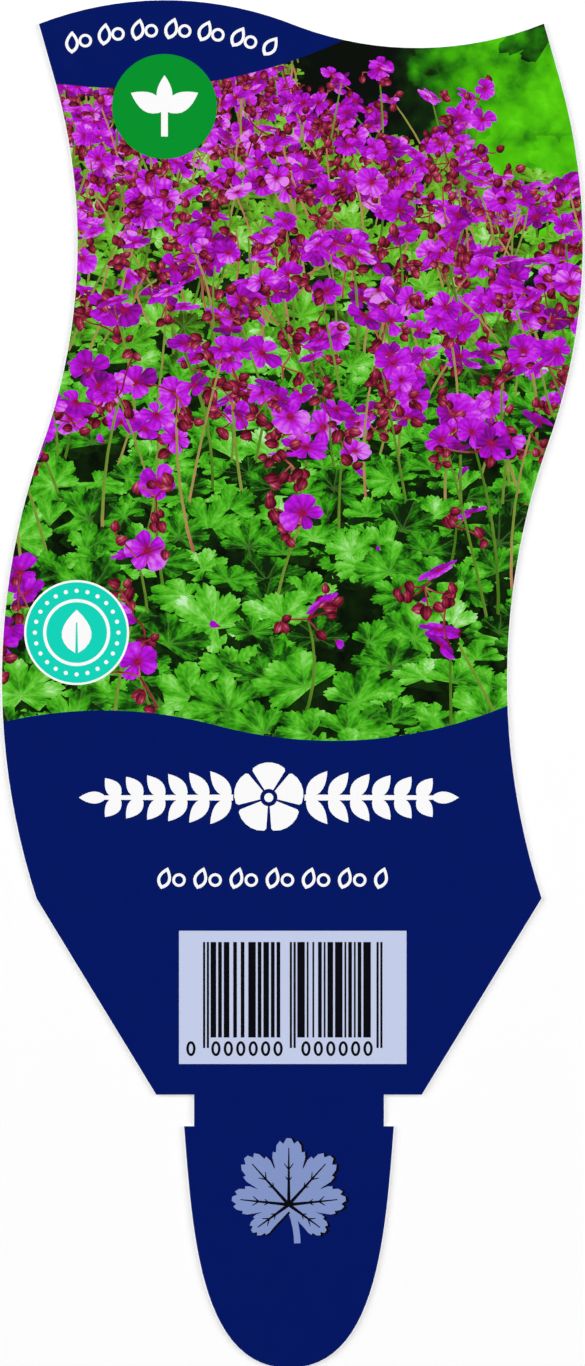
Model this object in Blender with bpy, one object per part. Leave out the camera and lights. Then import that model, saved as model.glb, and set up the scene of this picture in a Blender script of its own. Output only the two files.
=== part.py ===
"""Stick-in plant label: one card of thin plastic, die-cut to a waved outline.

Metres, +Z up. The card lies flat on its back, with its printed front up and its top towards +Y.
The origin is on the back face, under the middle of the card's outline.
"""

import math

import bmesh
import bpy
from mathutils import Vector
from mathutils.geometry import interpolate_bezier

MM = 0.001

# Whole card
CARD_LENGTH = 191.5 * MM
CARD_WIDTH = 81.34 * MM
CARD_THICKNESS = 0.5 * MM

# Each long side is a wave that runs out straight near the top, and the right side is the left one
# moved across by the card's breadth
SIDE_WAVE_DEPTH = 10.6 * MM
SIDE_BULGE_Y = 61.7 * MM
SIDE_HOLLOW_Y = 0.5 * MM
SIDE_UPPER_RADIUS = 83.4 * MM
SIDE_STRAIGHT_Y = 84.5 * MM
CARD_BREADTH = CARD_WIDTH - SIDE_WAVE_DEPTH

# The top edge is one wave, with its high point on the left and its low point on the right
TOP_HIGH_X = -17.8 * MM
TOP_LOW_X = 17.5 * MM
TOP_WAVE_DEPTH = 6.7 * MM
TOP_HIGH_RADIUS = 48.7 * MM

# Pointed lower end, with notches that lock the tongue in the slot of a pot's rim
TONGUE_AXIS_X = -0.47 * MM
SHOULDER_Y = -57.5 * MM
SHOULDER_HALF_WIDTH = 18.6 * MM
SHOULDER_SLOPE = 0.61
NOTCH_HEIGHT = 4.4 * MM
NECK_HALF_WIDTH = 13.3 * MM
BARB_HALF_WIDTH = 14.7 * MM
TONGUE_TAPER = 0.076
TONGUE_STRAIGHT = 15.5 * MM
TONGUE_TIP_FULLNESS = 12.3 * MM

SIDE_STEPS = 44
TOP_STEPS = 34
TONGUE_STEPS = 26
CORNER_PASSES = 30

WELD_DISTANCE = 0.001 * MM
SHARP_ANGLE = 30.0

# Ink blue of the card's printed front, in linear light
CARD_COLOUR = (0.0006, 0.0103, 0.1301, 1.0)
CARD_ROUGHNESS = 0.32


class Wave:
    """A high round and a low round, tangent to each other, as a height over a distance."""

    def __init__(self, high_at, high_level, low_at, depth, high_radius):
        run = abs(low_at - high_at)
        radius_sum = (run * run + depth * depth) / (2.0 * depth)
        self.high_at = high_at
        self.high_level = high_level
        self.high_radius = high_radius
        self.low_at = low_at
        self.low_level = high_level - depth
        self.low_radius = radius_sum - high_radius
        self.join_reach = run * high_radius / radius_sum

    def level(self, at):
        """Height of the wave at a distance along it."""
        towards_low = math.copysign(1.0, self.low_at - self.high_at)
        if (at - self.high_at) * towards_low <= self.join_reach:
            drop = self.high_radius - math.sqrt(self.high_radius ** 2 - (at - self.high_at) ** 2)
            return self.high_level - drop
        rise = self.low_radius - math.sqrt(self.low_radius ** 2 - (at - self.low_at) ** 2)
        return self.low_level + rise


def clear_scene():
    """Remove every object of the scene."""
    for item in list(bpy.data.objects):
        bpy.data.objects.remove(item, do_unlink=True)


def spread(start, end, count):
    """Evenly spaced numbers, with both ends among them."""
    return [start + (end - start) * step / (count - 1) for step in range(count)]


def side_wave():
    """The left side: x as a wave over y, bulging inwards near the top."""
    inner_x = -CARD_WIDTH / 2.0 + SIDE_WAVE_DEPTH
    return Wave(SIDE_BULGE_Y, inner_x, SIDE_HOLLOW_Y, SIDE_WAVE_DEPTH, SIDE_UPPER_RADIUS)


def top_wave():
    """The top edge: y as a wave over x."""
    return Wave(TOP_HIGH_X, CARD_LENGTH / 2.0, TOP_LOW_X, TOP_WAVE_DEPTH, TOP_HIGH_RADIUS)


def side_x(side, y):
    """The left side's x at a height. Near the top the side runs straight on."""
    if y <= SIDE_STRAIGHT_Y:
        return side.level(y)
    rise = SIDE_STRAIGHT_Y - side.high_at
    slope = rise / math.sqrt(side.high_radius ** 2 - rise ** 2)
    return side.level(SIDE_STRAIGHT_Y) - slope * (y - SIDE_STRAIGHT_Y)


def top_corner_y(side, top, shift):
    """Where a side meets the top edge, by going back and forth between the two."""
    y = CARD_LENGTH / 2.0
    for _ in range(CORNER_PASSES):
        y = top.level(side_x(side, y) + shift)
    return y


def lower_corner_y(side, shift, hand):
    """Where a side meets the slope that runs up and out from the shoulder."""
    y = SHOULDER_Y
    for _ in range(CORNER_PASSES):
        reach = hand * (side.level(y) + shift - TONGUE_AXIS_X) - SHOULDER_HALF_WIDTH
        y = SHOULDER_Y + reach / SHOULDER_SLOPE
    return y


def side_points(side, top, shift, hand):
    """One long side, from its lower corner up to its top corner."""
    low = lower_corner_y(side, shift, hand)
    high = top_corner_y(side, top, shift)
    return [(side_x(side, y) + shift, y) for y in spread(low, high, SIDE_STEPS)]


def foot_points(hand):
    """One half of the tongue, notch and shoulder, from the tongue's tip up to the shoulder."""
    tip = Vector((0.0, -CARD_LENGTH / 2.0))
    barb = Vector((BARB_HALF_WIDTH, SHOULDER_Y - NOTCH_HEIGHT))
    tip_handle = tip + Vector((TONGUE_TIP_FULLNESS, 0.0))
    barb_handle = barb - Vector((TONGUE_TAPER * TONGUE_STRAIGHT, TONGUE_STRAIGHT))
    points = interpolate_bezier(tip, tip_handle, barb_handle, barb, TONGUE_STEPS)
    points.append(Vector((NECK_HALF_WIDTH, barb.y)))
    points.append(Vector((NECK_HALF_WIDTH, SHOULDER_Y)))
    points.append(Vector((SHOULDER_HALF_WIDTH, SHOULDER_Y)))
    return [(TONGUE_AXIS_X + hand * point.x, point.y) for point in points]


def card_outline():
    """The whole outline, once round against the clock, starting at the tongue's tip."""
    side = side_wave()
    top = top_wave()
    right = side_points(side, top, CARD_BREADTH, 1.0)
    left = side_points(side, top, 0.0, -1.0)
    top_xs = spread(right[-1][0], left[-1][0], TOP_STEPS)
    top_edge = [(x, top.level(x)) for x in top_xs[1:-1]]
    foot_right = foot_points(1.0)
    foot_left = foot_points(-1.0)
    return foot_right + right + top_edge + left[::-1] + foot_left[:0:-1]


def flat_outline_curve(name, points, thickness):
    """A filled 2D curve through the points, as thick as asked and centred on its own plane."""
    data = bpy.data.curves.new(name, 'CURVE')
    data.dimensions = '2D'
    data.fill_mode = 'BOTH'
    data.extrude = thickness / 2.0
    spline = data.splines.new('POLY')
    spline.points.add(len(points) - 1)
    for place, (x, y) in zip(spline.points, points):
        place.co = (x, y, 0.0, 1.0)
    spline.use_cyclic_u = True
    return bpy.data.objects.new(name, data)


def as_mesh_object(curve_object, name, collection):
    """Turn a curve object into a mesh object of one closed body."""
    bpy.context.view_layer.update()
    depsgraph = bpy.context.evaluated_depsgraph_get()
    mesh = bpy.data.meshes.new_from_object(curve_object.evaluated_get(depsgraph))
    mesh.name = name
    body = bmesh.new()
    body.from_mesh(mesh)
    bmesh.ops.remove_doubles(body, verts=body.verts, dist=WELD_DISTANCE)
    bmesh.ops.recalc_face_normals(body, faces=body.faces)
    body.to_mesh(mesh)
    body.free()
    item = bpy.data.objects.new(name, mesh)
    item.matrix_world = curve_object.matrix_world.copy()
    collection.objects.link(item)
    curve_data = curve_object.data
    bpy.data.objects.remove(curve_object, do_unlink=True)
    bpy.data.curves.remove(curve_data)
    return item


def plastic_material():
    """Printed and varnished plastic sheet."""
    material = bpy.data.materials.new("printed_plastic")
    material.use_nodes = True
    shader = material.node_tree.nodes["Principled BSDF"]
    shader.inputs["Base Color"].default_value = CARD_COLOUR
    shader.inputs["Roughness"].default_value = CARD_ROUGHNESS
    shader.inputs["Metallic"].default_value = 0.0
    return material


def build_card(collection):
    """The label itself: the one physical piece."""
    outline = flat_outline_curve("card_outline", card_outline(), CARD_THICKNESS)
    outline.location = (0.0, 0.0, CARD_THICKNESS / 2.0)
    collection.objects.link(outline)
    card = as_mesh_object(outline, "label_card", collection)
    card.data.materials.clear()
    card.data.materials.append(plastic_material())
    card.data.shade_smooth()
    card.data.set_sharp_from_angle(angle=math.radians(SHARP_ANGLE))
    return card


def main():
    clear_scene()
    collection = bpy.data.collections.new("plant_label")
    bpy.context.scene.collection.children.link(collection)
    build_card(collection)


main()
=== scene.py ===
"""Looks of a stick-in plant label: its printed front, varnish, cut edges and plain back.

The print is one flat sheet of faces with no colour lying over another. Patches are laid down back
to front, in millimetres, and each spot of the card takes the ink of the topmost patch there.
"""

import math
import random

import bmesh
import bpy
import numpy as np
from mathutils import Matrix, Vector
from mathutils.geometry import delaunay_2d_cdt


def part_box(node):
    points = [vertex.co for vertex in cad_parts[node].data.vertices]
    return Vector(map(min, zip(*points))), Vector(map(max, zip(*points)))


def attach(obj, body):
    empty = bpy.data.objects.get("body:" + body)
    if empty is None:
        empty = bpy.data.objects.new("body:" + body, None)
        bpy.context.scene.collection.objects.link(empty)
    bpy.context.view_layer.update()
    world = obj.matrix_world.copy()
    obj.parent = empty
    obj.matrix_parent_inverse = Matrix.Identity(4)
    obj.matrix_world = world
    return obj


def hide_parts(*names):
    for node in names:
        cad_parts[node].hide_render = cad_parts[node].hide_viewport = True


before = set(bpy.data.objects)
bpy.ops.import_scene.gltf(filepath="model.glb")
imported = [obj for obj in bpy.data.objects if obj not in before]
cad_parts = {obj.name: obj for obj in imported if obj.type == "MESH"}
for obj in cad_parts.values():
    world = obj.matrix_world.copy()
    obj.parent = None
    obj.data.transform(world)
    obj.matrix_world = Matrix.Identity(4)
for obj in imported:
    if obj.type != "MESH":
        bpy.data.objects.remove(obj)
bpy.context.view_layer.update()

MM = 0.001
SEED = 41
UPWARDS = 90.0
FULL_TURN = 360.0

# The photograph's frame and scale
PHOTO_HEIGHT_PX = 1366
MM_PER_PX = 0.14
VIEW_CENTRE = (0.02, 0.14)
LENS_MM = 200.0
SENSOR_MM = 36.0

# Lamps on both sides, a sky that is dark overhead, and the floor
LAMPS = (("lamp_left", (-1.35, 0.5, 1.3), 21.6), ("lamp_right", (1.35, 0.3, 1.3), 18.8))
LAMP_SIZE = 1.4
SKY_STOPS = ((0.45, 0.75), (0.9, 0.02))
FLOOR_SIZE = 6.0
FLOOR_DROP = 0.02
FLOOR_WHITE = (254, 254, 254)

# Edges of the printed fields, in millimetres
FIELD_HIGH = (-26.5, -3.7)
FIELD_LOW = (5.7, -7.95)
FIELD_HIGH_RADIUS = 61.0
FIELD_STEPS = 90
BAND_LOW = (-23.0, 83.4)
BAND_RADIUS = 70.6
BAND_END = 12.0
BAND_STEPS = 60
PRINT_SIDE = 44.0
PRINT_TOP = 99.0
PRINT_FOOT = -98.0

# Points of the round marks
BIG_ROUND = 72
MIDDLE_ROUND = 56
SMALL_ROUND = 20
DOT_ROUND = 10

# Green disc
DISC_CENTRE = (-17.9, 80.85)
DISC_RADIUS = 7.35

# Teal badge with a leaf in a ring of dots
BADGE_CENTRE = (-30.2, 7.2)
BADGE_RADIUS = 7.35
BADGE_RIM = 0.3
BADGE_RING = 4.7
BADGE_STROKE = 0.45
BADGE_DOT_COUNT = 24
BADGE_DOT_REACH = 5.85
BADGE_DOT_RADIUS = 0.3

# Garland: a rosette between two leafy branches
GARLAND_CENTRE = (-3.3, -15.9)
ROSETTE_RADIUS = 4.9
ROSETTE_EYE = 0.25
ROSETTE_DOT = 0.13
BRANCH_START = 5.0
BRANCH_END = 23.0
SPRIG_COUNT = 6
SPRIG_START = 0.3
SPRIG_STEP = 3.1
SPRIG_LEAN = 38.0
SPRIG_LENGTH = 4.7
SPRIG_TAPER = 0.25

# Rows of small open leaves and rings
ARC_CENTRE = (-17.8, 47.05)
ARC_RADIUS = 43.2
ARC_START = 107.6
ARC_END = 71.4
ROW_START = (-18.4, -28.7)
ROW_STEP = 2.53
ROW_COUNT = 13

# Pale panel with upright bars, in modules from the left, and a row of zeros
PANEL_LOW = (-15.87, -53.2)
PANEL_HIGH = (15.98, -34.55)
BARS_LEFT = -12.51
BAR_MODULE = 0.264
BARS_TOP = -36.12
BARS_FOOT = -49.49
BAR_RUN_STARTS = (3, 49)
BAR_RUN_MODULES = 43
BAR_WIDTHS = (1, 2, 2, 3, 4)
BAR_GAPS = (1, 1, 1, 2, 2)
GUARD_BARS = (0, 2, 46, 48, 92, 94)
GUARD_WIDTH = 1.2
GUARDS_FOOT = -50.96
ZEROS_Y = -51.05
ZERO_GROUPS = ((-14.2, 1), (-10.7, 6), (1.9, 6))
ZERO_STEP = 1.74
ZERO_SIZE = (0.66, 1.06)
ZERO_HOLE = (0.29, 0.68)

# Lobed leaf on the tongue
EMBLEM_JOINT = (-0.5, -72.9)
EMBLEM_REACH = 9.5
EMBLEM_LOBES = 7
EMBLEM_STALK = (1.2, -5.4)

# The picture's bounds. A reach is given as its far and near ends and a power
PICTURE_TOP = 95.0
PICTURE_BOTTOM = -12.0
PICTURE_SIDE = 43.0
PICTURE_INKS = ("petal", "eye", "leaf", "shade", "stem", "bud", "gap", "haze")

# Blurred growth behind the bed's far right, with its leaves as x, y, reach, lean and tint
HAZE_FOOT = 79.0
HAZE_FALL = 0.24
HAZE_OUTLINE = ((-2.0, 64.0), (PRINT_SIDE, 62.0), (PRINT_SIDE, PRINT_TOP), (-2.0, PRINT_TOP))
HAZE_AXES = ((15.0, 80.0), (4.97, 0.52), (-0.52, 4.97))
HAZE_LEAVES = ((36.0, 91.0, 9.0, 20.0, 0.0), (22.0, 86.0, 8.5, -30.0, 0.42),
               (31.0, 79.0, 8.0, 10.0, 0.62), (38.0, 72.0, 7.0, -20.0, 0.72),
               (24.5, 76.5, 6.0, 40.0, 0.36))

# Leaf bed. Its patchy field is two waves, each a pitch, a sway and the sway's pitch
BED_END = PICTURE_BOTTOM - 4.0
BED_ROW_STEP = 0.7
PATCHY_ACROSS = (0.33, 1.9, 0.19)
PATCHY_UP = (0.47, 1.2, 0.21)
THIN_FROM = ((34.0, 42.0, 74.0, 84.0), (0.6, 1.0, 1.0, -0.1))
LEAF_REACH = (1.6, 7.0, 1.1)
NEAR_LEAF_FROM = 3.6
MIDDLE_LEAF_FROM = 2.6
FAR_LEAF_LOBES = 5

# Flowers
PETAL_COUNT = 5
PETAL_TURN = 72.0
PETAL_KINDS = 8

# Heads of flowers and buds
HEAD_REACH = (1.5, 3.7, 0.75)
HAZE_STEMS_FOOT = 76.0
BUD_STALK_TINTS = (0.85, 1.0)
SHADED_BELOW = 36.0
COVERED_BELOW = 56.0

# Crowded heads over the far bed: their spacing and chance of bloom at heights of the card
HEADS_END = 31.0
HEAD_MOST_SPACING = ((30.0, 60.0, 80.0), (3.9, 3.1, 1.9))
BLOOM_CHANCES = ((31.0, 36.0, 50.0, 64.0, 76.0), (0.2, 0.95, 0.76, 0.86, 1.0))
HAZE_BLOOM_TOP = 85.0
HAZE_BLOOM_SIDE = 24.0
HAZE_BLOOM_SPREAD = 0.1
STRAY_BLOOM_SIDE = 34.0
HAZE_HEADS_TOP = 88.0

# Sprays over the near leaves, in an even spread
SPRAY_COUNT = 14
SPRAYS_FROM = np.array((-43.0, 1.0))
SPRAYS_TO = np.array((43.0, 31.0))
SPRAY_START = np.array((0.22, 0.0))
SPRAY_STRIDE = np.array((0.7549, 0.5698))

# Bare twigs and loose petals
TWIG_COUNT = 130
LOOSE_COUNT = 14

# Unit outlines: a petal's and a leaf lobe's half widths or turns with their lengths
PETAL_HALF = ((0.0, 0.06), (0.18, 0.17), (0.42, 0.35), (0.66, 0.48), (0.84, 0.45), (0.95, 0.28),
              (1.0, 0.09))
PETAL_UNEVENNESS = 0.09
PETAL_LENGTH_SHARE = 0.4
LEAFLET_POINTS = 9
LEAFLET_SKEW = 0.85
LEAFLET_FULLNESS = 0.9
BUD = np.array([(0.0, -1.0), (0.6, -0.84), (0.93, -0.3), (0.86, 0.3), (0.5, 0.84), (0.12, 1.2),
                (-0.12, 1.2), (-0.5, 0.84), (-0.86, 0.3), (-0.93, -0.3), (-0.6, -0.84)])
LOBE_SPACING = 42.0
LOBE_DROP = 0.035
LEAF_HEEL = (0.0, -0.10)
NEAR_LOBE = ((-0.485, 0.60), (-0.46, 0.75), (-0.40, 0.83), (-0.33, 0.81), (-0.28, 0.91), (-0.19, 0.97),
             (-0.12, 0.92), (-0.05, 1.0), (0.05, 1.0), (0.12, 0.92), (0.19, 0.97), (0.28, 0.91),
             (0.33, 0.81), (0.40, 0.83), (0.46, 0.75), (0.485, 0.60))
MIDDLE_LOBE = ((-0.48, 0.62), (-0.42, 0.81), (-0.29, 0.83), (-0.18, 0.97), (0.0, 0.97), (0.18, 0.97),
               (0.29, 0.83), (0.42, 0.81), (0.48, 0.62))
FAR_LOBE = ((-0.46, 0.68), (-0.25, 0.93), (0.25, 0.93), (0.46, 0.68))

# The card's eased edge, as steps outwards and heights in millimetres
EDGE_EASE = 0.015
EDGE_RINGS = ((0.01, 0.496), (EDGE_EASE, 0.48), (EDGE_EASE, 0.02), (0.0, 0.0))
CARD_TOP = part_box("label_card")[1].z
LEVEL = 0.01

# How finely the patches are cut and tested
NEAR = 1e-4
INSIDE_ONLY = 1
STRAIGHT = 0.01
CELL = 0.15
LEAST_CELLS = 7
LEAST_STEM_CELLS = 2

# Room on the flat map, as a start and a size each way: the picture's, and what the rest shares
PICTURE_MAP_FOOT = -9.0
PICTURE_MAP = ((0.005, 0.99), (0.105, 0.89))
PLAIN_MAP = ((0.005, 0.48), (0.005, 0.085))
BARE_MAP_SHIFT = 0.5

# Colours of the inks from 0 to 255, the mottled ones with a feature size in millimetres
FLAT_INKS = {
    "white": (250, 250, 250),
    "navy": (0, 21, 98),
    "green": (2, 145, 43),
    "teal": (16, 211, 184),
    "panel": (196, 205, 233),
    "code": (6, 6, 14),
    "emblem": (131, 148, 199),
}
MOTTLED_INKS = {
    "eye": (0.5, ((0.3, (112, 6, 40)), (0.7, (176, 24, 84)))),
    "shade": (1.5, ((0.3, (3, 14, 2)), (0.7, (20, 52, 6)))),
    "gap": (2.5, ((0.3, (0, 3, 0)), (0.7, (12, 34, 4)))),
    "bare_plastic": (2.0, ((0.3, (238, 239, 240)), (0.7, (246, 247, 248)))),
}
PETAL_COLOURS = ((0.0, (92, 8, 80)), (0.25, (146, 12, 156)), (0.5, (184, 18, 213)),
                 (0.76, (206, 58, 233)), (1.0, (226, 136, 236)))
PETAL_COOL = (156, 0, 222)
PETAL_FOOT_RED = (150, 12, 70)
PETAL_FOOT_STOPS = ((0.08, (255, 255, 255)), (0.42, (0, 0, 0)))
LEAF_COLOURS = ((0.0, (10, 36, 5)), (0.2, (26, 92, 10)), (0.42, (58, 160, 18)),
                (0.62, (92, 192, 42)), (0.8, (134, 214, 98)), (1.0, (196, 238, 186)))
LEAF_WARM = (168, 186, 56)
LEAF_RIB = (150, 214, 96)
STEM_COLOURS = ((0.0, (70, 116, 24)), (0.3, (116, 146, 52)), (0.55, (176, 140, 90)),
                (0.76, (176, 92, 84)), (1.0, (124, 22, 44)))
BUD_COLOURS = ((0.0, (58, 6, 18)), (0.3, (112, 18, 42)), (0.62, (158, 44, 72)), (1.0, (218, 130, 150)))
HAZE_COLOURS = ((0.1, (6, 12, 6)), (0.28, (14, 40, 8)), (0.44, (36, 122, 8)), (0.62, (70, 180, 6)),
                (0.82, (90, 210, 12)), (1.0, (124, 226, 60)))

# Varnish
VARNISH_SHINE = 0.12
VARNISH_ROUGHNESS = 0.29
VARNISH_UNEVENNESS = 0.1
VARNISH_BUMP = 0.12
VARNISH_BUMP_DEPTH = 0.02


def ink_colour(red, green, blue):
    """Linear RGBA from the 0 to 255 values of a printed colour."""
    def linear(value):
        share = value / 255.0
        if share <= 0.04045:
            return share / 12.92
        return ((share + 0.055) / 1.055) ** 2.4
    return (linear(red), linear(green), linear(blue), 1.0)


class Patch:
    """A flat patch of one ink. Its axes place what the ink draws inside it, and tint varies it."""

    def __init__(self, points, ink, origin=(0.0, 0.0), across=(1.0, 0.0), along=(0.0, 1.0), tint=0.5):
        points = np.asarray(points, float)
        if signed_area(points) < 0.0:
            points = points[::-1]
        self.points = points
        self.ink = ink
        self.origin = np.asarray(origin, float)
        self.across = np.asarray(across, float)
        self.along = np.asarray(along, float)
        self.tint = min(max(tint, 0.0), 1.0)


def signed_area(points):
    x, y = points[:, 0], points[:, 1]
    return 0.5 * float(np.sum(x * np.roll(y, -1) - np.roll(x, -1) * y))


def turned(angle, length=1.0):
    """A vector of that length, at that angle against the clock from +X, in degrees."""
    return np.array([math.cos(math.radians(angle)), math.sin(math.radians(angle))]) * length


def placed(unit, ink, origin, across, along, tint=0.5):
    """A unit outline laid on the card by its own axes."""
    origin, across, along = (np.asarray(item, float) for item in (origin, across, along))
    points = origin + unit[:, :1] * across + unit[:, 1:] * along
    return Patch(points, ink, origin, across, along, tint)


def round_outline(count):
    return np.array([turned(FULL_TURN * step / count) for step in range(count)])


def oval(centre, half_width, half_height, ink, count=SMALL_ROUND):
    return placed(round_outline(count), ink, centre, (half_width, 0.0), (0.0, half_height))


def disc(centre, radius, ink, count=SMALL_ROUND):
    return oval(centre, radius, radius, ink, count)


def ring(centre, radius, stroke, ink, inner_ink, count=SMALL_ROUND):
    return [disc(centre, radius, ink, count), disc(centre, radius - stroke, inner_ink, count)]


def box_patch(low, high, ink):
    return Patch([(low[0], low[1]), (high[0], low[1]), (high[0], high[1]), (low[0], high[1])], ink)


def ribbon(path, widths, ink, tint=0.5):
    """A strip along a path, of one width or of a width for each point."""
    path = np.asarray(path, float)
    ways = np.gradient(path, axis=0)
    ways /= np.maximum(np.linalg.norm(ways, axis=1), 1e-9)[:, None]
    halves = np.full(len(path), widths) / 2.0
    sides = np.stack([-ways[:, 1], ways[:, 0]], 1) * halves[:, None]
    points = np.vstack([path + sides, (path - sides)[::-1]])
    middle = len(path) // 2
    return Patch(points, ink, path[middle], sides[middle], ways[middle], tint)


def bowed(start, end, bow, count):
    """Points along a gentle curve between two places."""
    start, end = np.asarray(start, float), np.asarray(end, float)
    side = np.array([start[1] - end[1], end[0] - start[0]]) * bow
    middle = (start + end) / 2.0 + side
    share = np.linspace(0.0, 1.0, count)[:, None]
    return (1 - share) ** 2 * start + 2 * share * (1 - share) * middle + share ** 2 * end


def bowed_stem(draw, start, end, bow, widths, tints, count=4):
    """A stem along a curve that bows by chance."""
    path = bowed(start, end, draw.gauss(sigma=bow), count)
    return ribbon(path, widths, "stem", draw.uniform(*tints))


def petal_outline(draw=None):
    """A petal from its narrow foot at the origin to its round tip at one."""
    sides = []
    for hand in (1.0, -1.0):
        wobbles = [0.0 if draw is None else draw.uniform(-1.0, 1.0) for _ in PETAL_HALF]
        side = []
        for (length, half), wobble in zip(PETAL_HALF, wobbles):
            wide = 1.0 + PETAL_UNEVENNESS * wobble
            long = 1.0 + PETAL_LENGTH_SHARE * PETAL_UNEVENNESS * wobble
            side.append((hand * half * wide, length * long))
        sides.append(side)
    return np.array(sides[0] + sides[1][::-1])


def leaflet_outline():
    """A pointed leaf from its foot at the origin to its tip at one."""
    shares = np.linspace(0.0, 1.0, LEAFLET_POINTS)
    half = 0.5 * np.maximum(np.sin(math.pi * shares ** LEAFLET_SKEW), 0.0) ** LEAFLET_FULLNESS
    right = np.stack([half, shares], 1)
    left = np.stack([-half, shares], 1)[-2:0:-1]
    return np.vstack([right, left])


def lobed_outline(lobes, lobe, draw=None):
    """A round lobed leaf. Its stalk joins at the origin and its middle lobe ends near one."""
    points = [np.array(LEAF_HEEL)]
    middle = (lobes - 1) / 2.0
    depth = 1.0 if draw is None else draw.uniform(0.6, 1.1)
    for number in range(lobes):
        angle = UPWARDS - (number - middle) * LOBE_SPACING
        reach = 1.0 - LOBE_DROP * (number - middle) ** 2
        if draw is not None:
            reach *= draw.uniform(0.86, 1.08)
        for turn, length in lobe:
            tooth = reach if draw is None else reach * draw.uniform(0.94, 1.04)
            points.append(turned(angle - turn * LOBE_SPACING, tooth * (1.0 - (1.0 - length) * depth)))
    return np.array(points)


PETAL = petal_outline()
PETALS = [petal_outline(random.Random(number)) for number in range(PETAL_KINDS)]
LEAFLET = leaflet_outline()
LEAF_SHADE = lobed_outline(6, FAR_LOBE) * 1.06


def leaflet(foot, angle, length, width, ink):
    return placed(LEAFLET, ink, foot, turned(angle - 90.0, width), turned(angle, length))


def nearness(y):
    """0 at the picture's far top, 1 at its near bottom."""
    return min(max((PICTURE_TOP - y) / (PICTURE_TOP - PICTURE_BOTTOM), 0.0), 1.0)


def by_depth(y, far, near, power=1.0):
    """The level at a height of the picture, between its far and near ends."""
    return far + (near - far) * nearness(y) ** power


def in_haze(x, y):
    """Whether a place lies before the blurred growth behind the bed's far right."""
    return x > 0.0 and y > HAZE_FOOT - HAZE_FALL * x


def swaying_wave(at, cross, wave):
    pitch, sway, sway_pitch = wave
    return math.sin(pitch * at + sway * math.sin(sway_pitch * cross))


def patchy(x, y):
    """A smooth uneven field over the picture, from -1 to 1."""
    return swaying_wave(x, y, PATCHY_ACROSS) * swaying_wave(y, x, PATCHY_UP)


def leaf(draw, x, y, hold=0.0):
    """One leaf and the dark under it. Hold is how far along the leaf the given place lies."""
    reach = by_depth(y, *LEAF_REACH) * draw.uniform(0.7, 1.2)
    lean = draw.gauss(sigma=62.0)
    squash = draw.uniform(0.45, 0.92)
    along = turned(UPWARDS + lean, reach) * np.array([1.0, squash])
    across = turned(lean, reach) * np.array([1.0, squash])
    if reach > NEAR_LEAF_FROM:
        unit = lobed_outline(draw.choice((5, 7, 7)), NEAR_LOBE, draw)
    elif reach > MIDDLE_LEAF_FROM:
        unit = lobed_outline(draw.choice((5, 6, 7)), MIDDLE_LOBE, draw)
    else:
        unit = lobed_outline(FAR_LEAF_LOBES, FAR_LOBE, draw)
    origin = np.array([x, y]) - along * hold
    under = placed(LEAF_SHADE, "shade", origin + np.array([0.05, -0.16]) * reach, across, along)
    tint = draw.gauss(mu=by_depth(y, far=0.6, near=0.55), sigma=0.25)
    return [under, placed(unit, "leaf", origin, across, along, tint)]


def flower(draw, centre, reach, squash, lean):
    """Petals round a dark eye, tilted by squash along a leaning axis."""
    patches = []
    start = draw.uniform(0.0, PETAL_TURN)
    order = list(range(PETAL_COUNT))
    draw.shuffle(order)
    order = order[:draw.choice((4, 5, 5, 5))]
    near = nearness(centre[1])
    mood = draw.gauss(mu=0.01, sigma=0.17) * (1.0 - 0.5 * near) - 0.2 * near ** 2
    axis, side = turned(lean), turned(lean + 90.0)

    def tilted(vector):
        return axis * vector.dot(axis) + side * vector.dot(side) * squash

    for number in order:
        angle = start + PETAL_TURN * number + draw.uniform(-11.0, 11.0)
        length = reach * draw.uniform(0.78, 1.1)
        along = tilted(turned(angle, length))
        across = tilted(turned(angle - 90.0, length * draw.uniform(0.7, 1.1)))
        tint = 0.5 + mood + draw.uniform(-0.28, 0.28)
        patches.append(placed(draw.choice(PETALS), "petal", centre, across, along, tint))
    eye = round_outline(count=7) * reach * 0.16
    eye_across, eye_along = tilted(np.array([1.0, 0.0])), tilted(np.array([0.0, 1.0]))
    patches.append(placed(eye, "eye", centre, eye_across, eye_along))
    return patches


def bud(draw, place, way, size):
    """A round bud that points along its stalk."""
    along = turned(way, size)
    across = turned(way - 90.0, size * draw.uniform(0.9, 1.05))
    return placed(BUD, "bud", place, across, along, draw.uniform(0.0, 1.0))


def bud_cluster(draw, top, place, size, width):
    """Buds that crowd at the end of a stalk."""
    patches = [bowed_stem(draw, top, place, bow=0.15, widths=width, tints=BUD_STALK_TINTS)]
    for _ in range(draw.randint(1, 4)):
        way = draw.uniform(0.0, FULL_TURN)
        end = place + turned(way, size * draw.uniform(0.5, 1.8))
        patches.append(ribbon([place, end], 0.8 * width, "stem", draw.uniform(*BUD_STALK_TINTS)))
        patches.append(bud(draw, end, way + draw.gauss(sigma=30.0), size * draw.uniform(0.7, 1.1)))
    return patches


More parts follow.
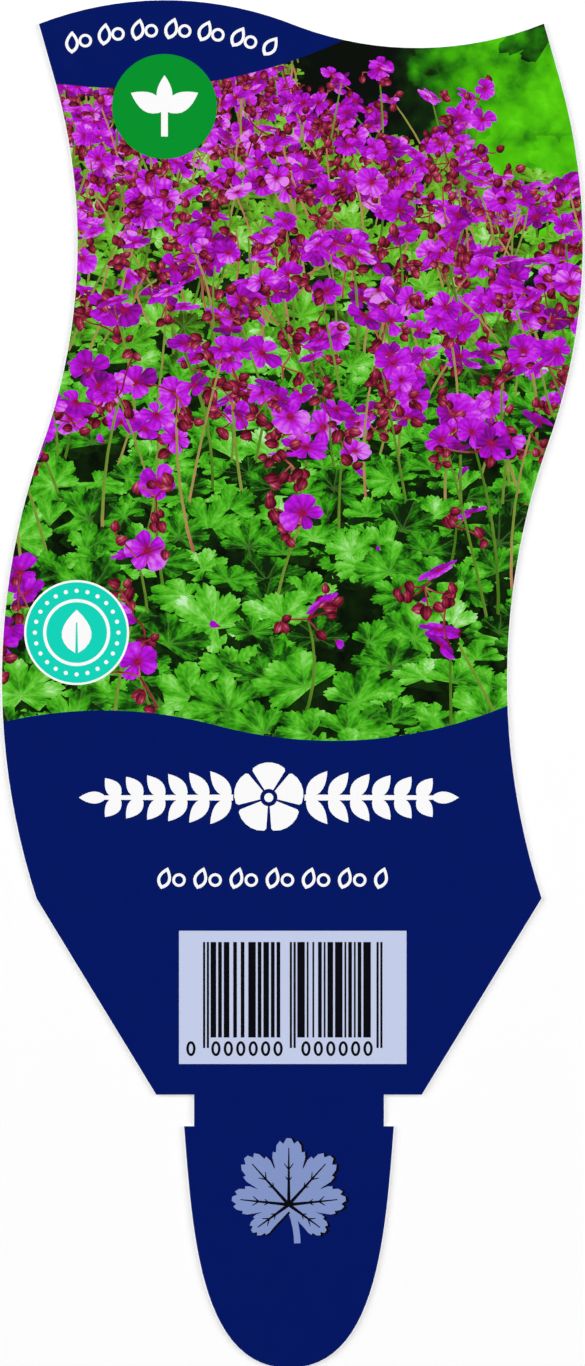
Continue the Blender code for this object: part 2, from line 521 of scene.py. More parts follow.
def head(draw, x, y, flowers, clusters):
    """A stem from the ground up to a loose head of flowers and clusters of buds."""
    reach = by_depth(y, *HEAD_REACH) * draw.uniform(0.85, 1.12)
    drop = by_depth(y, far=5.0, near=22.0) * draw.choice((0.6, 0.8, 1.0, 1.7))
    if in_haze(x, y):
        drop = y - HAZE_STEMS_FOOT + HAZE_FALL * x + draw.uniform(0.0, 4.0)
    ground = np.array([x + draw.gauss(sigma=0.25) * drop, y - drop])
    top = np.array([x, y])
    width = 0.11 * reach + 0.07
    stalk_width = 0.6 * width
    widths = np.linspace(1.2, 0.8, num=6) * width
    tints = (0.0, by_depth(y, far=0.7, near=0.2))
    patches = [bowed_stem(draw, ground, top, 0.08, widths, tints, count=len(widths))]
    layers = []
    for _ in range(flowers):
        way = UPWARDS + draw.gauss(sigma=70.0)
        end = top + turned(way, reach * draw.uniform(0.3, 1.25)) * np.array([1.0, 0.85])
        if y < SHADED_BELOW:
            under = lobed_outline(FAR_LEAF_LOBES, FAR_LOBE, draw) * reach * 0.85
            patches.append(Patch(under + end + np.array([0.2, -0.45]) * reach, "shade"))
        stalk_tints = (0.75, 1.0)
        patches.append(bowed_stem(draw, top, end, bow=0.12, widths=stalk_width, tints=stalk_tints))
        squash = draw.choice((0.25, 0.35, 0.5, 0.65, 0.8, 0.95))
        size = reach * draw.uniform(0.82, 1.05)
        layers.append(flower(draw, end, size, squash, draw.uniform(-40.0, 40.0)))
    bud_size = by_depth(y, far=0.5, near=1.02, power=0.8)
    for _ in range(clusters):
        way = draw.choice((90.0, 0.0, 180.0, 270.0)) + draw.gauss(sigma=40.0)
        place = top + turned(way, reach * draw.uniform(0.5, 1.6))
        layers.append(bud_cluster(draw, top, place, bud_size, stalk_width))
    draw.shuffle(layers)
    for layer in layers:
        patches.extend(layer)
    if ground[1] < COVERED_BELOW and not in_haze(x, y):
        patches.extend(leaf(draw, *ground, hold=0.4))
    return ground[1] + by_depth(y, far=0.5, near=6.0), patches


def bloom_chance(x, y):
    """How likely a head of flowers is at a place of the bed, or before the far growth."""
    if not in_haze(x, y):
        return float(np.interp(y, *BLOOM_CHANCES))
    if y <= HAZE_BLOOM_TOP and x <= HAZE_BLOOM_SIDE + HAZE_BLOOM_SPREAD * (HAZE_BLOOM_TOP - y):
        return 0.7
    return 0.06 if x < STRAY_BLOOM_SIDE else 0.0


def has_leaf(x, y):
    """Whether the bed has a leaf at a place: it thins at its far and near ends."""
    return not in_haze(x, y) and patchy(x, y) < float(np.interp(y, *THIN_FROM))


def leaf_bed(draw):
    """Leaves over the whole bed, in rows from far to near."""
    y = PICTURE_TOP
    while y > BED_END:
        reach = by_depth(y, *LEAF_REACH)
        x = -PICTURE_SIDE - draw.uniform(0.0, reach)
        while x < PICTURE_SIDE:
            place_y = y + draw.uniform(-0.4, 0.4) * reach
            if has_leaf(x, place_y):
                yield place_y, leaf(draw, x, place_y)
            x += reach * draw.uniform(0.72, 1.35)
        y -= reach * BED_ROW_STEP


def crowded_heads(draw):
    """Heads over the far bed. Before the far growth, those above a height are left out."""
    y = PICTURE_TOP
    while y > HEADS_END:
        reach = by_depth(y, *HEAD_REACH)
        x = -PICTURE_SIDE + draw.uniform(0.0, 2.0 * reach)
        while x < PICTURE_SIDE:
            place_y = y + draw.uniform(-0.8, 0.8) * reach
            if draw.random() < bloom_chance(x, place_y):
                clusters = draw.randint(1, 3) + draw.choice((0, 1, 1))
                group = head(draw, x, place_y, draw.choice((1, 2, 2, 3)), clusters)
                if place_y < HAZE_HEADS_TOP or not in_haze(x, place_y):
                    yield group
            most_spacing = float(np.interp(y, *HEAD_MOST_SPACING))
            x += reach * draw.uniform(1.2, most_spacing)
        y -= reach * by_depth(y, far=1.03, near=1.42, power=0.6)


def near_sprays(draw):
    """A few heads over the near leaves."""
    for number in range(SPRAY_COUNT):
        share = (SPRAY_START + SPRAY_STRIDE * number) % 1.0
        x, y = SPRAYS_FROM + share * (SPRAYS_TO - SPRAYS_FROM)
        x += draw.uniform(-3.0, 3.0)
        yield head(draw, x, y, draw.choice((1, 1, 2, 2)), draw.randint(1, 4))


def bare_twigs(draw):
    """Thin stems with no flowers among the far heads."""
    for _ in range(TWIG_COUNT):
        x = draw.uniform(-PICTURE_SIDE, PICTURE_SIDE)
        y = draw.uniform(52.0, 90.0)
        if in_haze(x, y):
            continue
        length = by_depth(y, far=5.0, near=14.0) * draw.uniform(0.6, 1.2)
        foot = np.array([x, y]) + turned(-UPWARDS + draw.gauss(sigma=26.0), length)
        width = by_depth(y, far=0.2, near=0.42)
        tints = (by_depth(y, far=0.5, near=0.0), by_depth(y, far=1.0, near=0.5))
        twig = bowed_stem(draw, foot, (x, y), bow=0.1, widths=width, tints=tints, count=5)
        yield foot[1] + by_depth(y, far=-3.0, near=4.0), [twig]


def loose_petals(draw):
    """Single petals that lie on the near leaves."""
    for _ in range(LOOSE_COUNT):
        place = np.array([draw.uniform(-PICTURE_SIDE, PICTURE_SIDE), draw.uniform(-6.0, 34.0)])
        angle = draw.uniform(0.0, FULL_TURN)
        along = turned(angle, draw.uniform(1.2, 2.2))
        across = turned(angle - 90.0 + draw.gauss(sigma=25.0), draw.uniform(0.9, 1.5))
        petal = placed(draw.choice(PETALS), "petal", place, across, along, draw.uniform(0.1, 0.5))
        yield place[1] - 1.0, [petal]


def far_growth(draw):
    """The blurred growth behind the bed's far right, and its large leaves."""
    patches = [Patch(HAZE_OUTLINE, "haze", *HAZE_AXES)]
    for x, y, reach, lean, tint in HAZE_LEAVES:
        unit = lobed_outline(7, MIDDLE_LOBE, draw) * reach
        across, along = turned(lean), turned(lean + 90.0, length=0.7)
        points = np.array([x, y]) + unit[:, :1] * across + unit[:, 1:] * along
        patches.append(Patch(points, "haze", *HAZE_AXES, tint))
    return patches


def picture():
    """A bed of flowers seen from its edge: far small blooms at the top, near leaves at the bottom."""
    draw = random.Random(SEED)
    groups = []
    for layer in (leaf_bed, crowded_heads, near_sprays, bare_twigs, loose_petals):
        groups += layer(draw)
    groups.sort(key=lambda group: -group[0])
    patches = [box_patch((-PRINT_SIDE, PICTURE_BOTTOM), (PRINT_SIDE, PRINT_TOP), "gap")]
    patches += far_growth(draw)
    for _, group in groups:
        patches.extend(group)
    return patches


def arc_level(centre, radius, hand, at):
    """Height of a round at a distance, on its upper side where hand is 1 and its lower where -1."""
    return centre[1] + hand * math.sqrt(radius ** 2 - (at - centre[0]) ** 2)


def field_edge(at):
    """Height of the lower field's edge: a high round on the left runs into a low one on the right."""
    run = FIELD_LOW[0] - FIELD_HIGH[0]
    depth = FIELD_HIGH[1] - FIELD_LOW[1]
    radius_sum = (run * run + depth * depth) / (2.0 * depth)
    if at <= FIELD_HIGH[0] + run * FIELD_HIGH_RADIUS / radius_sum:
        high_centre = (FIELD_HIGH[0], FIELD_HIGH[1] - FIELD_HIGH_RADIUS)
        return arc_level(high_centre, FIELD_HIGH_RADIUS, 1.0, at)
    low_radius = radius_sum - FIELD_HIGH_RADIUS
    return arc_level((FIELD_LOW[0], FIELD_LOW[1] + low_radius), low_radius, -1.0, at)


def fields():
    """The dark blue fields above and below the picture."""
    lower_field = [(x, field_edge(x)) for x in np.linspace(-PRINT_SIDE, PRINT_SIDE, FIELD_STEPS)]
    lower_field += [(PRINT_SIDE, PRINT_FOOT), (-PRINT_SIDE, PRINT_FOOT)]
    band_centre = (BAND_LOW[0], BAND_LOW[1] + BAND_RADIUS)
    band_xs = np.linspace(-PRINT_SIDE, BAND_END, BAND_STEPS)
    band = [(x, arc_level(band_centre, BAND_RADIUS, -1.0, x)) for x in band_xs]
    band += [(BAND_END, PRINT_TOP), (-PRINT_SIDE, PRINT_TOP)]
    return [Patch(lower_field, "navy"), Patch(band, "navy")]


def sprout(foot, height, ink):
    """A stalk with a pair of leaves and a shoot between them."""
    crown = foot + turned(UPWARDS, length=0.42 * height)
    patches = [ribbon([foot, crown], widths=0.11 * height, ink=ink)]
    for turn, length, width in ((0.0, 0.58, 0.26), (62.0, 0.62, 0.32), (-62.0, 0.62, 0.32)):
        patches.append(leaflet(crown, UPWARDS + turn, length * height, width * height, ink))
    return patches


def green_disc():
    """The green disc with a white sprout."""
    centre = np.array(DISC_CENTRE)
    green = disc(centre, DISC_RADIUS, "green", BIG_ROUND)
    return [green] + sprout(centre + (0.0, -4.2), height=8.6, ink="white")


def teal_badge():
    """The teal badge with a leaf in a ring, inside a ring of dots."""
    centre = np.array(BADGE_CENTRE)
    patches = ring(centre, BADGE_RADIUS, BADGE_RIM, "white", "teal", BIG_ROUND)
    patches += ring(centre, BADGE_RING, BADGE_STROKE, "white", "teal", MIDDLE_ROUND)
    for number in range(BADGE_DOT_COUNT):
        place = centre + turned(FULL_TURN / BADGE_DOT_COUNT * number, BADGE_DOT_REACH)
        patches.append(disc(place, BADGE_DOT_RADIUS, "white", DOT_ROUND))
    patches.append(leaflet(centre + (0.0, -3.0), UPWARDS, length=6.2, width=4.2, ink="white"))
    vein = [centre + (0.0, -3.2), centre + (0.0, 1.4)]
    patches.append(ribbon(vein, widths=(0.42, 0.2), ink="teal"))
    return patches


def rosette(centre, radius, ink, gap_ink):
    """Five plain petals round an open eye."""
    patches = []
    angles = [UPWARDS + PETAL_TURN * number for number in range(PETAL_COUNT)]
    for angle in angles:
        patches.append(placed(PETAL, ink, centre, turned(angle - 90.0, radius), turned(angle, radius)))
    for angle in angles:
        gap = centre + turned(angle + PETAL_TURN / 2.0, length=0.96 * radius)
        patches.append(ribbon([centre, gap], widths=(0.1, 0.75), ink=gap_ink))
    return patches + [disc(centre, radius * ROSETTE_EYE, gap_ink), disc(centre, radius * ROSETTE_DOT, ink)]


def garland():
    """A rosette with a leafy branch on each side."""
    centre = np.array(GARLAND_CENTRE)
    patches = rosette(centre, ROSETTE_RADIUS, "white", "navy")
    for hand in (-1.0, 1.0):
        start = centre + (hand * BRANCH_START, 0.0)
        end = centre + (hand * BRANCH_END, 0.0)
        patches.append(ribbon([start, end], widths=(0.85, 0.6), ink="white"))
        for step in range(SPRIG_COUNT):
            joint = start + (hand * (SPRIG_START + SPRIG_STEP * step), 0.0)
            length = SPRIG_LENGTH - SPRIG_TAPER * step
            for up in (1.0, -1.0):
                angle = up * (UPWARDS - hand * SPRIG_LEAN)
                patches.append(leaflet(joint, angle, length, width=2.1, ink="white"))
        tip = end - (hand * SPRIG_START, 0.0)
        patches.append(leaflet(tip, UPWARDS - hand * 90.0, length=3.9, width=1.7, ink="white"))
    return patches


def open_leaf(foot, up, height, ink, inner_ink):
    """The outline of a pointed leaf."""
    hole = foot + turned(up, length=0.17 * height)
    return [leaflet(foot, up, length=height, width=0.60 * height, ink=ink),
            leaflet(hole, up, length=0.64 * height, width=0.34 * height, ink=inner_ink)]


def small_rows():
    """Rows of small open leaves and rings, along the arc at the top and under the garland."""
    patches = []
    for number in range(ROW_COUNT):
        angle = ARC_START + (ARC_END - ARC_START) * number / (ROW_COUNT - 1)
        arc_foot = np.array(ARC_CENTRE) + turned(angle, ARC_RADIUS)
        row_foot = np.array(ROW_START) + (number * ROW_STEP, 0.0)
        for foot, up in ((arc_foot, angle), (row_foot, UPWARDS)):
            if number % 2 == 0:
                patches += open_leaf(foot, up - 18.0, height=3.2, ink="white", inner_ink="navy")
            else:
                centre = foot + turned(up, length=1.25)
                patches += ring(centre, radius=0.95, stroke=0.38, ink="white", inner_ink="navy")
    return patches


def bar_run(draw, start):
    """Bars of uneven widths and gaps, as left and right ends in modules."""
    bars = []
    at = start + 1
    while True:
        width = draw.choice(BAR_WIDTHS)
        if at + width > start + BAR_RUN_MODULES - 1:
            return bars
        bars.append((at, at + width))
        at += width + draw.choice(BAR_GAPS)


def code_panel():
    """A pale panel with upright bars of random widths, over a row of plain zeros."""
    draw = random.Random(SEED)
    patches = [box_patch(PANEL_LOW, PANEL_HIGH, "panel")]
    bars = [(*bar, BARS_FOOT) for start in BAR_RUN_STARTS for bar in bar_run(draw, start)]
    bars += [(first, first + GUARD_WIDTH, GUARDS_FOOT) for first in GUARD_BARS]
    for first, last, foot in bars:
        low = (BARS_LEFT + first * BAR_MODULE, foot)
        patches.append(box_patch(low, (BARS_LEFT + last * BAR_MODULE, BARS_TOP), "code"))
    for start, count in ZERO_GROUPS:
        for number in range(count):
            centre = (start + ZERO_STEP * number, ZEROS_Y)
            patches.append(oval(centre, *ZERO_SIZE, "code"))
            patches.append(oval(centre, *ZERO_HOLE, "panel"))
    return patches


def emblem():
    """A lobed leaf with a dark edge and dark veins, on the tongue."""
    joint = np.array(EMBLEM_JOINT)
    outline = lobed_outline(EMBLEM_LOBES, NEAR_LOBE)
    stalk = bowed(joint, joint + EMBLEM_STALK, bow=0.1, count=6)
    patches = [ribbon(stalk, widths=0.9, ink="emblem")]
    for ink, place, size in (("code", joint + (0.3, -0.1), EMBLEM_REACH),
                             ("emblem", joint, 0.98 * EMBLEM_REACH)):
        patches.append(placed(outline, ink, place, (size, 0.0), (0.0, size)))
    for number in range(EMBLEM_LOBES):
        off = number - (EMBLEM_LOBES - 1) / 2.0
        angle = UPWARDS + off * LOBE_SPACING
        tip = joint + turned(angle, length=EMBLEM_REACH * (0.84 - 0.03 * off ** 2))
        patches.append(ribbon([joint, tip], widths=(0.5, 0.14), ink="code"))
        for share in (0.42, 0.62):
            fork = joint + (tip - joint) * share
            for turn in (38.0, -38.0):
                end = fork + turned(angle + turn, length=1.7 * share)
                patches.append(ribbon([fork, end], widths=(0.24, 0.1), ink="code"))
    return patches


def card_outline(node):
    """The card's outline in millimetres, against the clock, read from the frame's own solid."""
    mesh = node.data
    top = max(vertex.co.z for vertex in mesh.vertices)
    spots = [(round(vertex.co.x / MM, 4), round(vertex.co.y / MM, 4)) for vertex in mesh.vertices]
    steps = set()
    for face in mesh.polygons:
        if all(top - mesh.vertices[index].co.z < LEVEL * MM for index in face.vertices):
            face_spots = [spots[index] for index in face.vertices]
            steps.update(zip(face_spots, face_spots[1:] + face_spots[:1]))
    onward = {start: end for start, end in steps if (end, start) not in steps}
    outline = [min(onward)]
    while onward[outline[-1]] != outline[0]:
        outline.append(onward[outline[-1]])
    return np.array(outline)


def cells_inside(points, low, shape):
    """Which cells of the card's grid lie in an outline, as the grid's slices and a mask."""
    start = np.maximum(np.floor((points.min(0) - low) / CELL).astype(int), 0)
    stop = np.minimum(np.ceil((points.max(0) - low) / CELL).astype(int) + 1, shape)
    if (stop <= start).any():
        return None
    xs = low[0] + (np.arange(start[0], stop[0]) + 0.5) * CELL
    ys = low[1] + (np.arange(start[1], stop[1]) + 0.5) * CELL
    inside = np.zeros((len(xs), len(ys)), bool)
    ends = np.roll(points, -1, axis=0)
    for (ax, ay), (bx, by) in zip(points, ends):
        if ay == by:
            continue
        rows = (ys >= min(ay, by)) & (ys < max(ay, by))
        cross = ax + (ys[rows] - ay) * (bx - ax) / (by - ay)
        inside[:, rows] ^= xs[:, None] < cross[None, :]
    return (slice(start[0], stop[0]), slice(start[1], stop[1])), inside


def without_hidden(patches, outline):
    """Leaves out the picture's patches that others hide, and all that lie off the card."""
    low, high = outline.min(0), outline.max(0)
    shape = np.ceil((high - low) / CELL).astype(int)
    where, inside = cells_inside(outline, low, shape)
    covered = np.ones(shape, bool)
    covered[where] &= ~inside
    kept = []
    for patch in reversed(patches):
        found = cells_inside(patch.points, low, shape)
        if found is None:
            continue
        where, inside = found
        least = LEAST_STEM_CELLS if patch.ink == "stem" else LEAST_CELLS
        if (inside & ~covered[where]).sum() < least and patch.ink in PICTURE_INKS:
            continue
        covered[where] |= inside
        kept.append(patch)
    return kept[::-1]


def outward_shifts(outline):
    """For each point of a closed outline, the step that moves both its sides outwards by one."""
    ahead = np.roll(outline, -1, axis=0) - outline
    ahead /= np.linalg.norm(ahead, axis=1)[:, None]
    after = np.stack([ahead[:, 1], -ahead[:, 0]], 1)
    before = np.roll(after, 1, axis=0)
    return (before + after) / (1.0 + (before * after).sum(1))[:, None]


def cut_sheet(patches):
    """Cuts overlapping patches into triangles, each owned by the topmost patch there.

    The first patch is the whole card, and what lies off it is left out.
    """
    places, rings = [], []
    for patch in patches:
        rings.append(list(range(len(places), len(places) + len(patch.points))))
        places.extend(Vector(point) for point in patch.points)
    spots, _, faces, _, _, owners = delaunay_2d_cdt(places, [], rings, INSIDE_ONLY, NEAR)
    kept = [(face, max(ids)) for face, ids in zip(faces, owners) if 0 in ids]
    return spots, kept


def front_sheet(patches):
    """The printed front as a flat mesh whose faces know their patch."""
    spots, kept = cut_sheet(patches)
    sheet = bmesh.new()
    owner = sheet.faces.layers.int.new("patch")
    corners = [sheet.verts.new((spot.x * MM, spot.y * MM, CARD_TOP)) for spot in spots]
    for face, patch in kept:
        made = sheet.faces.new([corners[index] for index in face])
        made[owner] = patch
    loose = [corner for corner in corners if not corner.link_faces]
    bmesh.ops.delete(sheet, geom=loose, context='VERTS')
    for edge in sheet.edges:
        edge.smooth = len({face[owner] for face in edge.link_faces}) == 1
    bmesh.ops.dissolve_limit(sheet, angle_limit=STRAIGHT, use_dissolve_boundaries=False,
                             verts=sheet.verts, edges=sheet.edges, delimit={'SHARP'})
    bmesh.ops.triangulate(sheet, faces=sheet.faces)
    return sheet, owner


def add_walls(sheet, owner, plastic):
    """Gives the front sheet its eased cut edge, its walls and its back, in bare plastic."""
    onward = {}
    for edge in sheet.edges:
        if edge.is_boundary:
            loop = edge.link_loops[0]
            onward[loop.vert] = loop.link_loop_next.vert
    rim = [next(iter(onward))]
    while onward[rim[-1]] is not rim[0]:
        rim.append(onward[rim[-1]])
    flat = np.array([vert.co.xy for vert in rim])
    shifts = outward_shifts(flat)
    for reach, height in EDGE_RINGS:
        fresh = [sheet.verts.new((x, y, height * MM)) for x, y in flat + shifts * reach * MM]
        for here in range(len(rim)):
            there = (here + 1) % len(rim)
            wall = sheet.faces.new([rim[there], rim[here], fresh[here], fresh[there]])
            wall[owner] = plastic
        rim = fresh
    back = sheet.faces.new(rim[::-1])
    back[owner] = plastic
    bmesh.ops.triangulate(sheet, faces=[back])


def inner_axes(patches):
    """For each patch, the numbers that turn a place on the card into its own axes, and its tint."""
    rows = []
    for patch in patches:
        back = np.linalg.inv(np.array([patch.across, patch.along]).T)
        shift = -back @ patch.origin
        rows.append([*back[0], shift[0], *back[1], shift[1], patch.tint])
    return np.array(rows)


def paint(mesh, patches, inks):
    """Hands each face its ink, and each corner its place in its own patch."""
    count = len(mesh.polygons)
    owners = np.empty(count, np.int32)
    mesh.attributes["patch"].data.foreach_get("value", owners)
    slot_of = {ink: number for number, ink in enumerate(inks)}
    slots = np.array([slot_of[patch.ink] for patch in patches], np.int32)[owners]
    mesh.polygons.foreach_set("material_index", slots)
    places = np.empty(len(mesh.vertices) * 3)
    mesh.vertices.foreach_get("co", places)
    corners = np.empty(len(mesh.loops), np.int32)
    mesh.loops.foreach_get("vertex_index", corners)
    sizes = np.empty(count, np.int32)
    mesh.polygons.foreach_get("loop_total", sizes)
    x, y = (places.reshape(-1, 3)[corners, :2] / MM).T
    own = inner_axes(patches)[np.repeat(owners, sizes)].T
    spots = np.stack([own[0] * x + own[1] * y + own[2], own[3] * x + own[4] * y + own[5], own[6]], 1)
    mesh.attributes.new("spot", 'FLOAT_VECTOR', 'CORNER').data.foreach_set("vector", spots.ravel())
    corner_inks = np.array(inks)[np.repeat(slots, sizes)]
    lay_out(mesh, x, y, np.isin(corner_inks, PICTURE_INKS), corner_inks == "bare_plastic")


def lay_out(mesh, x, y, pictured, bare):
    """A flat map of the card that gives the picture nearly all the room."""
    across = (x - x.min()) / (x.max() - x.min())
    up = (y - y.min()) / (y.max() - y.min())
    upper = (y - PICTURE_MAP_FOOT) / (y.max() - PICTURE_MAP_FOOT)
    (picture_u, picture_width), (picture_v, picture_height) = PICTURE_MAP
    (plain_u, plain_width), (plain_v, plain_height) = PLAIN_MAP
    u = np.where(pictured, picture_u + picture_width * across,
                 plain_u + plain_width * across + BARE_MAP_SHIFT * bare)
    v = np.where(pictured, picture_v + picture_height * upper, plain_v + plain_height * up)
    mesh.uv_layers.new(name="OFBake").data.foreach_set("uv", np.stack([u, v], 1).ravel())


class Mixer:
    """Short calls for one material's nodes."""

    def __init__(self, name):
        self.material = bpy.data.materials.new(name)
        self.material.use_nodes = True
        self.tree = self.material.node_tree
        self.shader = self.tree.nodes["Principled BSDF"]

    def feed(self, socket, value):
        if isinstance(value, bpy.types.NodeSocket):
            self.tree.links.new(value, socket)
        else:
            socket.default_value = value

    def maths(self, operation, *values, clamp=False):
        node = self.tree.nodes.new("ShaderNodeMath")
        node.operation = operation
        node.use_clamp = clamp
        for socket, value in zip(node.inputs, values):
            self.feed(socket, value)
        return node.outputs[0]

    def scaled(self, value, factor, plus=0.0):
        return self.maths('MULTIPLY_ADD', value, factor, plus)

    def waves(self, value, pitch=1.0):
        return self.maths('SINE', self.scaled(value, pitch))

    def length(self, first, second):
        """The length of a vector of two parts."""
        squares = [self.maths('MULTIPLY', part, part) for part in (first, second)]
        return self.maths('SQRT', self.maths('ADD', *squares))

    def total(self, *values):
        """The sum of the values, kept between 0 and 1."""
        result = values[0]
        for value in values[1:]:
            result = self.maths('ADD', result, value)
        return self.maths('ADD', result, 0.0, clamp=True)

    def place(self):
        return self.tree.nodes.new("ShaderNodeTexCoord").outputs["Object"]

    def parts(self, vector):
        split = self.tree.nodes.new("ShaderNodeSeparateXYZ")
        self.tree.links.new(vector, split.inputs[0])
        return split.outputs

    def noise(self, size_mm, detail=2.0, swing=None):
        """Noise over the card with features of about that size, or its swing about zero."""
        node = self.tree.nodes.new("ShaderNodeTexNoise")
        node.inputs["Scale"].default_value = 1.0 / (size_mm * MM)
        node.inputs["Detail"].default_value = detail
        self.tree.links.new(self.place(), node.inputs["Vector"])
        if swing is None:
            return node.outputs["Fac"]
        return self.scaled(node.outputs["Fac"], swing, -0.5 * swing)

    def by_height(self, none_at, full_at, amount):
        """A share that is nothing at one height of the card, and the amount at the other."""
        run = (full_at - none_at) * MM
        rise = self.scaled(self.parts(self.place())["Y"], 1.0 / run, -none_at * MM / run)
        return self.maths('MULTIPLY', rise, amount, clamp=True)

    def spot(self):
        """Across, along and tint of the patch here."""
        node = self.tree.nodes.new("ShaderNodeAttribute")
        node.attribute_name = "spot"
        return tuple(self.parts(node.outputs["Vector"]))

    def ramp(self, share, stops):
        node = self.tree.nodes.new("ShaderNodeValToRGB")
        band = node.color_ramp
        while len(band.elements) < len(stops):
            band.elements.new(0.5)
        for element, (place, colour) in zip(band.elements, stops):
            element.position = place
            element.color = ink_colour(*colour)
        self.feed(node.inputs["Fac"], share)
        return node.outputs["Color"]

    def blend(self, share, first, second):
        node = self.tree.nodes.new("ShaderNodeMix")
        node.data_type = 'RGBA'
        self.feed(node.inputs["Factor"], share)
        self.feed(node.inputs["A"], first)
        self.feed(node.inputs["B"], ink_colour(*second))
        return node.outputs["Result"]

    def varnish(self, colour):
        """A varnished surface of that colour, with a faint unevenness in its gloss."""
        self.feed(self.shader.inputs["Base Color"], colour)
        self.shader.inputs["Specular IOR Level"].default_value = VARNISH_SHINE
        dull = self.scaled(self.noise(size_mm=3.0, detail=3.0), VARNISH_UNEVENNESS, VARNISH_ROUGHNESS)
        self.feed(self.shader.inputs["Roughness"], dull)
        bump = self.tree.nodes.new("ShaderNodeBump")
        bump.inputs["Strength"].default_value = VARNISH_BUMP
        bump.inputs["Distance"].default_value = VARNISH_BUMP_DEPTH * MM
        self.feed(bump.inputs["Height"], self.noise(size_mm=0.7))
        self.tree.links.new(bump.outputs["Normal"], self.shader.inputs["Normal"])
        return self.material


def mottled_ink(name, size_mm, stops):
    mix = Mixer(name)
    return mix.varnish(mix.ramp(mix.noise(size_mm, detail=4.0), stops))


def petal_ink():
    """Magenta petals with a dark red foot, fine fanned veins and a paler rim."""
    mix = Mixer("petal")
    across, along, tint = mix.spot()
    fan = mix.maths('DIVIDE', across, mix.scaled(along, factor=1.0, plus=0.35))
    veins = mix.maths('ABSOLUTE', mix.waves(fan, pitch=9.0))
    mottle = mix.noise(size_mm=1.1, detail=2.0, swing=0.8)
    paler_rim = mix.scaled(along, factor=0.25, plus=-0.15)
    vein_light = mix.scaled(veins, factor=0.2, plus=-0.12)
    colour = mix.ramp(mix.total(tint, mottle, paler_rim, vein_light), PETAL_COLOURS)
    colour = mix.blend(mix.by_height(none_at=80.0, full_at=0.0, amount=0.25), colour, PETAL_COOL)
    return mix.varnish(mix.blend(mix.ramp(along, PETAL_FOOT_STOPS), colour, PETAL_FOOT_RED))


def leaf_ink():
    """Green leaves creased between their lobes, with pale ribs and a crinkled face."""
    mix = Mixer("leaf")
    across, along, tint = mix.spot()
    angle = mix.maths('ARCTAN2', across, along)
    reach = mix.length(across, along)
    wander = mix.noise(size_mm=1.6, detail=1.0, swing=1.2)
    turn = mix.maths('ADD', mix.scaled(angle, FULL_TURN / LOBE_SPACING), wander)
    off_rib = mix.maths('ABSOLUTE', mix.waves(turn, pitch=0.5))
    rib_gap = mix.scaled(mix.maths('MULTIPLY', off_rib, reach), factor=8.0)
    rib = mix.maths('SUBTRACT', 1.0, rib_gap, clamp=True)
    crease = mix.maths('MULTIPLY', mix.maths('POWER', off_rib, 7.0), reach)
    vein_turn = mix.maths('SUBTRACT', mix.scaled(reach, factor=30.0), mix.scaled(off_rib, factor=9.0))
    light = mix.total(mix.scaled(crease, factor=-0.26),
                      mix.scaled(mix.waves(vein_turn), factor=0.04),
                      mix.scaled(mix.waves(turn, pitch=4.0), factor=0.035),
                      mix.scaled(mix.waves(turn), factor=0.07),
                      mix.scaled(tint, factor=0.6, plus=0.06),
                      mix.noise(size_mm=3.6, detail=1.0, swing=1.15),
                      mix.noise(size_mm=0.9, detail=3.0, swing=0.5),
                      mix.scaled(reach, factor=0.08))
    colour = mix.ramp(light, LEAF_COLOURS)
    colour = mix.blend(mix.by_height(none_at=40.0, full_at=80.0, amount=0.3), colour, LEAF_WARM)
    return mix.varnish(mix.blend(mix.scaled(rib, factor=0.16), colour, LEAF_RIB))


def stem_ink():
    """Stems from green through tan to dark red by their tint, a little darker on one side."""
    mix = Mixer("stem")
    across, _, tint = mix.spot()
    mottle = mix.noise(size_mm=1.3, detail=2.0, swing=0.3)
    light = mix.total(tint, mottle, mix.scaled(across, factor=-0.05))
    return mix.varnish(mix.ramp(light, STEM_COLOURS))


def bud_ink():
    """Dark red buds with a soft light on their upper left and faint streaks along them."""
    mix = Mixer("bud")
    across, along, tint = mix.spot()
    right_of_light = mix.scaled(across, factor=1.0, plus=0.3)
    off_light = mix.length(right_of_light, mix.scaled(along, factor=0.8, plus=-0.2))
    streaks = mix.scaled(mix.waves(across, pitch=11.0), factor=0.1)
    light = mix.total(mix.scaled(tint, factor=0.3, plus=0.6), mix.scaled(off_light, factor=-0.62), streaks)
    return mix.varnish(mix.ramp(light, BUD_COLOURS))


def haze_ink():
    """Blurred growth far behind the bed: near black on its left, bright green on its right."""
    mix = Mixer("haze")
    across, _, tint = mix.spot()
    side = mix.maths('ADD', mix.scaled(across, factor=0.35, plus=0.25), 0.0, clamp=True)
    light = mix.total(mix.scaled(side, factor=0.62), mix.scaled(tint, factor=0.44, plus=-0.22),
                      mix.noise(size_mm=5.0, detail=1.0, swing=0.8),
                      mix.noise(size_mm=1.6, detail=2.0, swing=0.35))
    return mix.varnish(mix.ramp(light, HAZE_COLOURS))


def ink_materials():
    """Every ink of the print, and the bare sheet."""
    inks = {ink: Mixer(ink + "_ink").varnish(ink_colour(*colour)) for ink, colour in FLAT_INKS.items()}
    inks.update({ink: mottled_ink(ink, *look) for ink, look in MOTTLED_INKS.items()})
    inks["petal"] = petal_ink()
    inks["leaf"] = leaf_ink()
    inks["stem"] = stem_ink()
    inks["bud"] = bud_ink()
    inks["haze"] = haze_ink()
    return inks


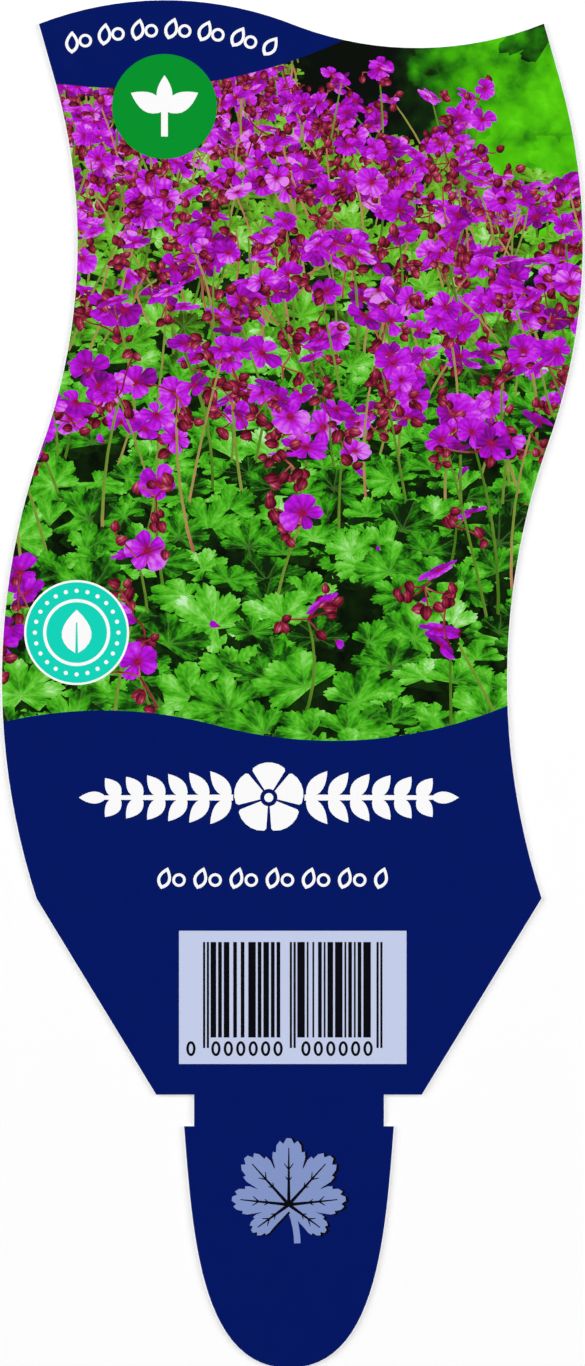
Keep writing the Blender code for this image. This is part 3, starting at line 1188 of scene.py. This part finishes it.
def printed_card():
    """The label: a closed card that takes the place of the frame's plain one."""
    outline = card_outline(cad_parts["label_card"])
    flat_part = outline - outward_shifts(outline) * EDGE_EASE
    marks = small_rows() + green_disc() + teal_badge() + garland() + code_panel() + emblem()
    patches = [Patch(flat_part, "white")] + without_hidden(picture() + fields() + marks, flat_part)
    sheet, owner = front_sheet(patches)
    add_walls(sheet, owner, len(patches))
    patches.append(Patch(flat_part, "bare_plastic"))
    mesh = bpy.data.meshes.new("printed_card")
    sheet.to_mesh(mesh)
    sheet.free()
    inks = ink_materials()
    for material in inks.values():
        mesh.materials.append(material)
    paint(mesh, patches, list(inks))
    card = bpy.data.objects.new("printed_card", mesh)
    bpy.context.scene.collection.objects.link(card)
    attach(card, "root")
    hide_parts("label_card")


def pale_floor():
    """A matt white floor just under the card."""
    bpy.ops.mesh.primitive_plane_add(size=FLOOR_SIZE, location=(0.0, 0.0, -FLOOR_DROP * MM))
    floor = bpy.context.object
    floor.name = "floor"
    mix = Mixer("floor")
    mix.shader.inputs["Base Color"].default_value = ink_colour(*FLOOR_WHITE)
    mix.shader.inputs["Roughness"].default_value = 0.8
    mix.shader.inputs["Specular IOR Level"].default_value = 0.1
    floor.data.materials.append(mix.material)


def soft_lamp(name, place, power):
    """A square lamp that faces the card."""
    data = bpy.data.lights.new(name, 'AREA')
    data.shape = 'SQUARE'
    data.size = LAMP_SIZE
    data.energy = power
    lamp = bpy.data.objects.new(name, data)
    lamp.location = place
    lamp.rotation_euler = (-Vector(place)).to_track_quat('-Z', 'Y').to_euler()
    bpy.context.scene.collection.objects.link(lamp)


def lighting():
    """Large soft lamps low on both sides, under a sky that is dark overhead."""
    for name, place, power in LAMPS:
        soft_lamp(name, place, power)
    world = bpy.data.worlds.new("sky")
    bpy.context.scene.world = world
    world.use_nodes = True
    tree = world.node_tree
    place = tree.nodes.new("ShaderNodeTexCoord").outputs["Generated"]
    split = tree.nodes.new("ShaderNodeSeparateXYZ")
    shade = tree.nodes.new("ShaderNodeValToRGB")
    for element, (height, grey) in zip(shade.color_ramp.elements, SKY_STOPS):
        element.position = height
        element.color = (grey, grey, grey, 1.0)
    tree.links.new(place, split.inputs[0])
    tree.links.new(split.outputs["Z"], shade.inputs["Fac"])
    tree.links.new(shade.outputs["Color"], tree.nodes["Background"].inputs["Color"])


def camera():
    """Straight above the card, framed as the photograph is."""
    data = bpy.data.cameras.new("camera")
    data.sensor_fit = 'VERTICAL'
    data.sensor_height = SENSOR_MM
    data.lens = LENS_MM
    height = PHOTO_HEIGHT_PX * MM_PER_PX * MM * LENS_MM / SENSOR_MM
    item = bpy.data.objects.new("camera", data)
    item.location = (VIEW_CENTRE[0] * MM, VIEW_CENTRE[1] * MM, CARD_TOP + height)
    bpy.context.scene.collection.objects.link(item)
    bpy.context.scene.camera = item


printed_card()
pale_floor()
lighting()
camera()
bpy.context.scene.view_settings.view_transform = 'Standard'
